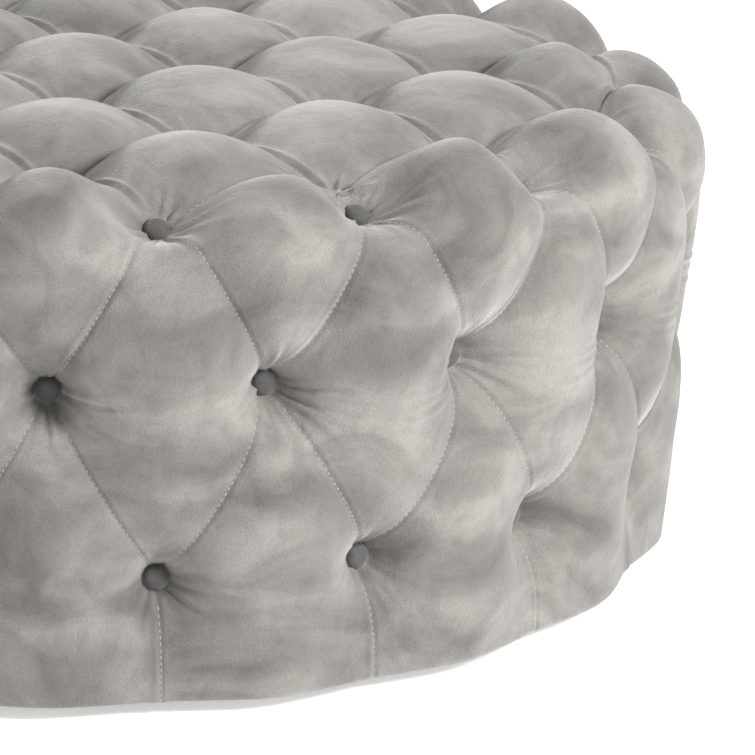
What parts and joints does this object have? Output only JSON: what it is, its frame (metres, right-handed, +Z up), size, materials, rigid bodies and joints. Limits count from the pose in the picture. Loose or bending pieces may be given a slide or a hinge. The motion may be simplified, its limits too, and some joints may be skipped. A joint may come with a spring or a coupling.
{
  "type": "round tufted ottoman",
  "caption": "Low round upholstered ottoman, deep-buttoned in grey velvet in a diamond pattern over the top and side, on low glides.",
  "frame": {"origin": "on the floor, under the centre of the round plan", "axes": "+Z up, square to the top; -Y is the front, where a middle-row button faces straight out; +X to the right"},
  "size_m": [0.912, 0.912, 0.367],
  "materials": {
    "velvet": "short-pile polyester velvet, silver grey",
    "button_velvet": "the same velvet stretched over a domed button",
    "batting": "soft white polyester wadding",
    "foam": "open-cell upholstery foam",
    "plywood": "sanded poplar plywood",
    "timber": "planed softwood",
    "steel_wire": "galvanised wire",
    "zinc_steel": "zinc-plated steel",
    "twine": "waxed polyester twine",
    "dust_cloth": "black non-woven cambric",
    "glide_nylon": "moulded black nylon"
  },
  "bodies": {
    "root": {"velvet_cover": "velvet", "top_batting": "batting", "side_batting": "batting", "top_foam": "foam", "side_foam": "foam", "top_deck": "plywood", "side_panel": "plywood", "base_ring": "plywood", "post_1": "timber", "post_2": "timber", "post_3": "timber", "post_4": "timber", "post_5": "timber", "post_6": "timber", "post_7": "timber", "post_8": "timber", "deck_batten_front": "timber", "deck_batten_back": "timber", "top_buttons": "button_velvet", "shoulder_buttons": "button_velvet", "middle_buttons": "button_velvet", "lower_buttons": "button_velvet", "button_shanks": "steel_wire", "tufting_twine": "twine", "twine_anchors": "zinc_steel", "deck_screws": "zinc_steel", "base_screws": "zinc_steel", "panel_nails": "zinc_steel", "hem_staples": "steel_wire", "dust_cover": "dust_cloth", "dust_cover_staples": "steel_wire", "glides": "glide_nylon", "glide_screws": "zinc_steel"}
  },
  "joints": []
}
